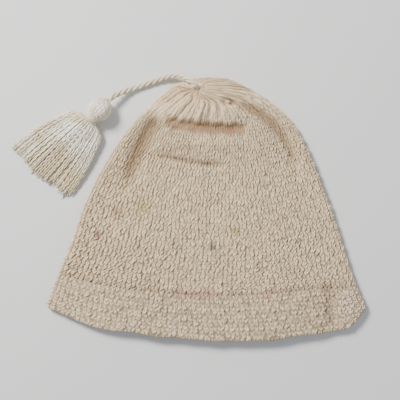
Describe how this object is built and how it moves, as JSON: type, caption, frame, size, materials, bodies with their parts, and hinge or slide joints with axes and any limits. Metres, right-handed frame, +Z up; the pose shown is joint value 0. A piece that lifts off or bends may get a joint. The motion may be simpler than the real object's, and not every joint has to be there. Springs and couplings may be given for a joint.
{
  "type": "knitted nightcap with tassel",
  "caption": "Soft knitted nightcap lying flat, with a plain border round its head opening, a gathered crown, and a twisted cord that ends in a tassel.",
  "frame": {"origin": "on the ground under the middle of the flat cap, without its cord and tassel", "axes": "+X across the cap to its right as it lies front up, +Y from the head opening to the crown, +Z up from the ground"},
  "size_m": [0.3085, 0.2332, 0.0228],
  "materials": {
    "knit": "cream cotton knit, worn and stained",
    "border_knit": "cream cotton knit, coarser ribs",
    "cord": "twisted cotton cord",
    "tassel_yarn": "off-white crimped yarn",
    "binding_thread": "white thread"
  },
  "bodies": {
    "root": {"cap_body": "knit", "hem_band": "border_knit", "cord": "cord", "tassel": "tassel_yarn", "neck_tie": "binding_thread"}
  },
  "joints": []
}
